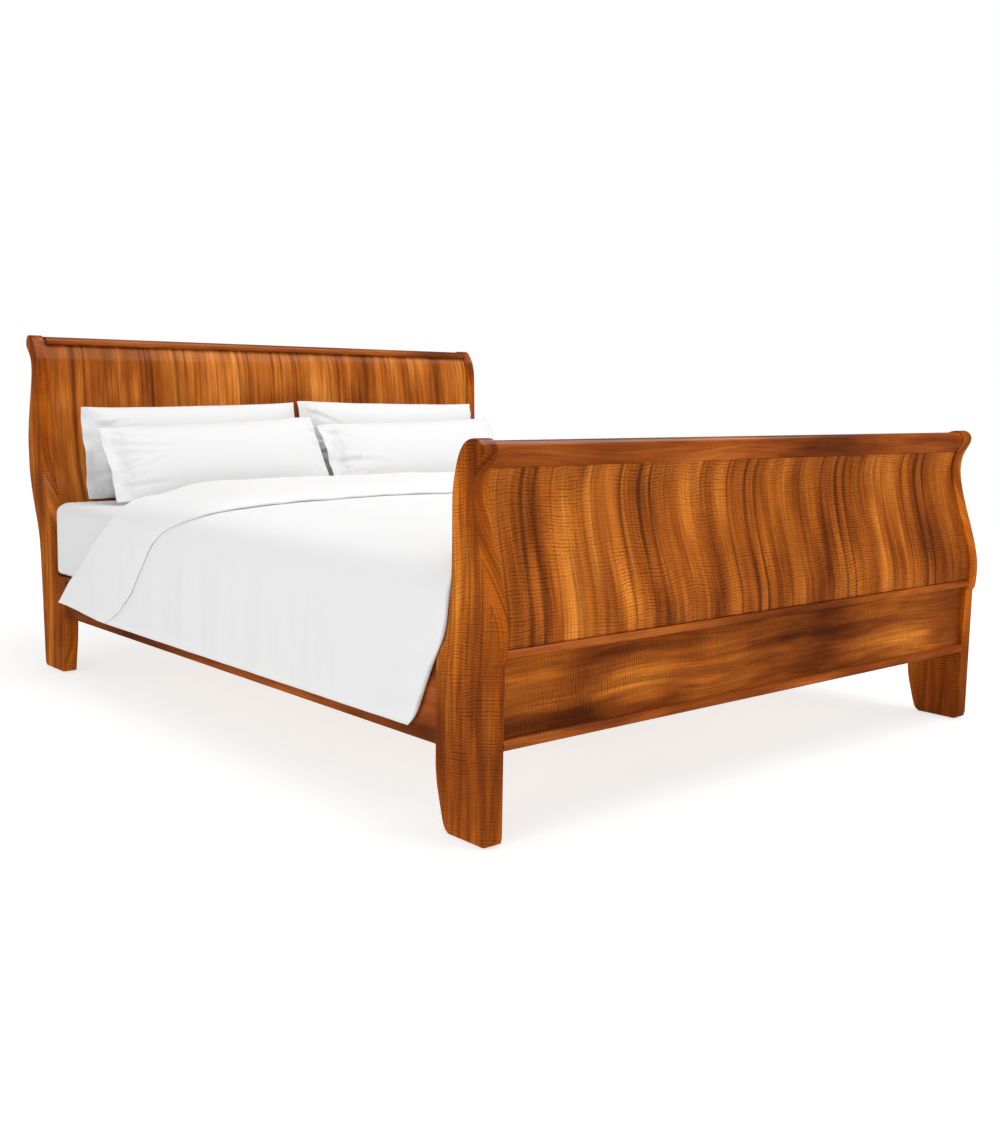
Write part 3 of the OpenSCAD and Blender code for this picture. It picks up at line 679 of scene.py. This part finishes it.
    def row_points(self, y, height, folded):
        full = self.thick * self.taper
        share = np.clip(height / np.maximum(full, 1e-6), 0, 1)
        tip_lift = 0.02 * smoothstep(11.0, 12.0, self.at) * smoothstep(0.60, 0.98, y)
        stand = height - full / 2 + self.swell(y, share, folded)
        x = self.side * (self.middle[:, 0] + self.away[:, 0] * stand)
        z = self.middle[:, 1] + self.away[:, 1] * stand + tip_lift
        return np.stack([x, y, z], 1)


def duvet_faces(row_count, count):
    faces = []
    for i in range(row_count):
        n = (i + 1) % row_count
        for k in range(count - 1):
            faces.append((i * count + k, i * count + k + 1, n * count + k + 1, n * count + k))
    hem_row = ALONG + TURN + FOLD
    under_row = hem_row + EDGE_TURN
    crease_row = under_row + FOLD
    outer_row = crease_row + TURN
    # both side hems are closed by strips between the layers
    loops = [[i, i + 1, outer_row + ALONG - i - 1, outer_row + ALONG - i] for i in range(ALONG)]
    loops += [[ALONG + i, ALONG + i + 1, outer_row - i - 1, outer_row - i] for i in range(TURN)]
    loops += [[ALONG + TURN + i, ALONG + TURN + i + 1, crease_row - i - 1, crease_row - i]
              for i in range(FOLD)]
    loops.append(list(range(hem_row, under_row + 1)))
    loops.append(list(range(outer_row + ALONG, row_count)) + [0])
    for loop in loops:
        faces.append(tuple(i * count for i in loop))
    for loop in loops:
        faces.append(tuple(i * count + count - 1 for i in reversed(loop)))
    return faces


def make_duvet():
    duvet = Duvet()
    rows = duvet.rows()
    points = np.concatenate([duvet.row_points(*row) for row in rows])
    quilt = mesh_object("duvet_quilt", points, duvet_faces(len(rows), len(duvet.at)))
    face_outward(quilt)
    place(quilt, "duvet", "duvet_cotton", cotton("duvet_cotton", (0.82, 0.82, 0.82)), "duvet")


# ---------------------------------------------------------------- pillows

PILLOW_STEP = 0.009
PILLOW_HALF_THICK = 0.052
OPEN_HEM = 0.042          # the flat hem of the pillowcase's open end, on the left
MOST_MOVE = 0.014         # the furthest that the simulation may move a point
SETTLE_FRAMES = 16
MOST_HALF_THICK = 0.0570  # keeps a pillow in its CAD solid's thickness
PILLOW_FACE = {"back": 0.330, "front": 0.314}
PILLOW_LEAN = {"back": 10, "front": 31}    # degrees back from upright
# How far the top edge is raised at the left end and at the right end; below 0 it is lowered
PILLOW_RISE = {
    "pillow_back_left": (-0.010, 0.012),
    "pillow_back_right": (0.018, 0.010),
    "pillow_front_left": (-0.032, 0.010),
    "pillow_front_right": (-0.024, 0.002),
}


def pillow_case(name, length, width, seed):
    """A filled pillowcase, closed all round, as two layers joined at the seam."""
    nx = int(length / PILLOW_STEP)
    ny = int(width / PILLOW_STEP)
    x = np.linspace(-length / 2, length / 2, nx + 1)[:, None] * np.ones((1, ny + 1))
    y = np.linspace(-width / 2, width / 2, ny + 1)[None, :] * np.ones((nx + 1, 1))
    start = -length / 2 + OPEN_HEM
    u = np.clip((x - start) / (length / 2 - start), 0, 1) * 2 - 1
    v = y / (width / 2)
    plump = (1 - np.abs(u) ** 5) ** 0.62 * (1 - np.abs(v) ** 2.5) ** 0.66
    plump = np.where(x <= start, 0, plump)
    # the long seams pull in a little between the corners, and so do the ends
    y_in = y * (1 - 0.030 * (1 - u ** 4) * np.abs(v) ** 3)
    x_in = x * (1 - 0.008 * (1 - v ** 2) * np.abs(u) ** 3)
    hem_wave = smoothstep(start + 0.01, -length / 2, x) * (
        0.0060 * np.sin(y * 34 + seed * 2.1) + 0.0030 * np.sin(y * 83 + seed))
    seam_wave = 0.0022 * np.sin(x * 29 + seed) * np.abs(v) ** 6
    layers = []
    for layer in (1, -1):
        spot = np.stack([x, y, np.full_like(x, 0.4 * layer)], 2).reshape(-1, 3)
        soft = wander(spot, 0.16, seed).reshape(x.shape)
        pleat = wander(spot * (0.30, 1, 1), 0.024, seed + 4).reshape(x.shape)
        fine = wander(spot * (0.55, 1, 1), 0.045, seed + 7).reshape(x.shape)
        near_hem = np.exp(-np.maximum(x - start, 0) / 0.075) * (x > start - 0.004)
        near_end = np.exp(-np.maximum(length / 2 - x, 0) / 0.05)
        rise = PILLOW_HALF_THICK * plump * (1 + 0.07 * soft)
        rise += 0.0060 * pleat * near_hem * (1 - np.abs(v) ** 6)
        rise += 0.0030 * pleat * near_end + 0.0016 * fine * np.minimum(1, 4 * plump)
        rise = np.maximum(rise, 0.0012)
        layers.append(np.stack([x_in, y_in, layer * rise + hem_wave + seam_wave], 2))
    index = {}
    points = []

    def point(i, j, layer):
        rim = i in (0, nx) or j in (0, ny)
        key = (i, j, 0 if rim else layer)
        if key not in index:
            index[key] = len(points)
            spot = (layers[0][i, j] + layers[1][i, j]) / 2 if rim else layers[layer][i, j]
            points.append(tuple(spot))
        return index[key]

    faces = []
    for layer in (0, 1):
        for i in range(nx):
            for j in range(ny):
                face = [point(i, j, layer), point(i + 1, j, layer),
                        point(i + 1, j + 1, layer), point(i, j + 1, layer)]
                faces.append(tuple(face if layer == 0 else reversed(face)))
    return mesh_object(name, points, faces)


HEM_CREASES = 11
ALL_CREASES = 17


def creases(x, y, length, width, seed):
    """Depth of the creases in a pillowcase: short ones inwards from both ends, and one along its hem."""
    luck = np.random.default_rng(int(seed * 10))
    depth = np.zeros_like(x)
    start = -length / 2 + OPEN_HEM
    for k in range(ALL_CREASES):
        at_hem = k < HEM_CREASES
        from_end = x - start if at_hem else length / 2 - x
        reach = luck.uniform(0.06, 0.21) if at_hem else luck.uniform(0.05, 0.11)
        first = luck.uniform(-0.46, 0.46) * width
        slope = luck.uniform(-0.45, 0.45) - 0.5 * first / width
        bow = luck.uniform(-2.2, 2.2)
        deep = luck.uniform(0.0040, 0.0080) * (1 if at_hem else 0.7)
        half = luck.uniform(0.0055, 0.0095)
        line = first + slope * from_end + bow * from_end ** 2
        t = np.clip(from_end / reach, 0, 1)
        along = (1 - t) ** 0.8 * smoothstep(-0.012, 0.006, from_end)
        off = (y - line) / half
        depth += deep * along * (np.exp(-off ** 2) - 0.55 * np.exp(-(off - 2.1) ** 2 / 1.4))
    fold = start + 0.016 + 0.005 * np.sin(y * 41 + seed)
    depth += 0.0045 * np.exp(-((x - fold) / 0.007) ** 2)
    return depth * np.clip((width / 2 - np.abs(y)) / 0.02, 0, 1)


def settle(obj, length, width):
    """A short cloth simulation: the seam is held, and the slack cloth swells and creases."""
    held = obj.vertex_groups.new(name="held")
    slack = obj.vertex_groups.new(name="slack")
    for v in obj.data.vertices:
        x, y, z = v.co
        from_seam = min(length / 2 - abs(x), width / 2 - abs(y))
        on_hem = x < -length / 2 + OPEN_HEM
        held.add([v.index], 1.0 if on_hem or from_seam < 0.012 else 0.0, "REPLACE")
        near_left = math.exp(-(x + length / 2 - OPEN_HEM) / 0.12)
        near_right = math.exp(-(length / 2 - x) / 0.08)
        slack.add([v.index], min(1.0, 0.30 + max(near_left, near_right)), "REPLACE")
    cloth = obj.modifiers.new("cloth", "CLOTH")
    s = cloth.settings
    s.quality = 6
    s.mass = 0.25
    s.tension_stiffness = 25
    s.compression_stiffness = 10
    s.shear_stiffness = 5
    s.bending_stiffness = 0.12
    s.tension_damping = 12
    s.vertex_group_mass = "held"
    s.pin_stiffness = 1.0
    s.vertex_group_shrink = "slack"
    s.shrink_min = 0.0
    s.shrink_max = -0.045
    s.use_pressure = True
    s.uniform_pressure_force = 2.2
    s.effector_weights.gravity = 0
    cloth.collision_settings.use_collision = False
    cloth.point_cache.frame_start = 1
    cloth.point_cache.frame_end = SETTLE_FRAMES
    before = np.array([v.co for v in obj.data.vertices])
    for k in range(1, SETTLE_FRAMES + 1):
        scene.frame_set(k)
    bpy.context.view_layer.objects.active = obj
    with bpy.context.temp_override(object=obj):
        bpy.ops.object.modifier_apply(modifier="cloth")
    scene.frame_set(1)
    moved = np.array([v.co for v in obj.data.vertices]) - before
    far = np.linalg.norm(moved, axis=1, keepdims=True)
    after = before + moved * np.minimum(1, MOST_MOVE / np.maximum(far, 1e-9))
    obj.data.vertices.foreach_set("co", after.ravel())
    obj.data.update()
    obj.vertex_groups.clear()


def make_pillow(name, node, row, seed, material):
    lowest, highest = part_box(node)
    length = highest.x - lowest.x - 2 * MM
    width = PILLOW_FACE[row]
    pad = pillow_case(name, length, width, seed)
    settle(pad, length, width)
    co = np.array([v.co for v in pad.data.vertices])
    co[:, 2] *= min(1.0, MOST_HALF_THICK / np.abs(co[:, 2]).max())
    inward = np.minimum(creases(co[:, 0], co[:, 1], length, width, seed), 0.6 * np.abs(co[:, 2]))
    co[:, 2] -= np.sign(co[:, 2]) * inward
    left_rise, right_rise = PILLOW_RISE[node]
    height = np.clip(co[:, 1] / width + 0.5, 0, 1)
    end = np.clip(co[:, 0] / length + 0.5, 0, 1)
    co[:, 1] += height * (left_rise + (right_rise - left_rise) * end)
    pad.data.vertices.foreach_set("co", co.ravel())
    turn = Matrix.Rotation(math.radians(90 - PILLOW_LEAN[row]), 4, "X")
    pad.data.transform(Matrix.Translation((lowest + highest) / 2) @ turn)
    smooth = pad.modifiers.new("smooth", "SUBSURF")
    smooth.levels = 1
    smooth.render_levels = 1
    place(pad, node, "pillow_cotton", material, node)


def make_pillows():
    material = cotton("pillow_cotton", (0.735, 0.735, 0.735), 0.04, 0.0012)
    for k, row in enumerate(PILLOW_LEAN):
        for hand in ("left", "right"):
            node = f"pillow_{row}_{hand}"
            seed = 3.1 * k + (hand == "right") * 1.7 + 1
            make_pillow(node + "_cushion", node, row, seed, material)


# ---------------------------------------------------------------- stage

FLOOR_RADIUS = 6.5
FLOOR_SIDES = 96


def make_floor():
    """A round pale floor that turns as white as the room towards its edge."""
    turns = [TAU * k / FLOOR_SIDES for k in range(FLOOR_SIDES)]
    rim = [(FLOOR_RADIUS * math.cos(a), FLOOR_RADIUS * math.sin(a), 0) for a in turns]
    floor = mesh_object("floor", rim, [tuple(range(FLOOR_SIDES))])
    floor.location.z = -0.5 * MM
    s = Shader("pale_floor", Roughness=0.9, Specular_IOR_Level=0.1)
    axis = s.axes()
    cloud = s.noise(s.vector(axis["X"], axis["Y"]), 1.5, 2.0)
    s.colour(s.ramp(cloud, [(0.3, (0.45, 0.45, 0.45)), (0.7, (0.47, 0.47, 0.47))]))
    x2 = s.math("MULTIPLY", axis["X"], axis["X"])
    y2 = s.math("MULTIPLY", axis["Y"], axis["Y"])
    out = s.math("DIVIDE", s.math("SQRT", s.math("ADD", x2, y2)), FLOOR_RADIUS)
    glow = s.ramp(out, [(0.28, 0.66), (0.75, 1.0)])
    s.tree.links.new(glow, s.bsdf.inputs["Emission Color"])
    s.bsdf.inputs["Emission Strength"].default_value = 1.0
    floor.data.materials.append(s.material)
    floor.visible_glossy = False     # flags keep the bright floor out of the lacquer


make_camera()
make_light()
make_floor()
dress_frame()
make_mattress()
make_duvet()
make_pillows()
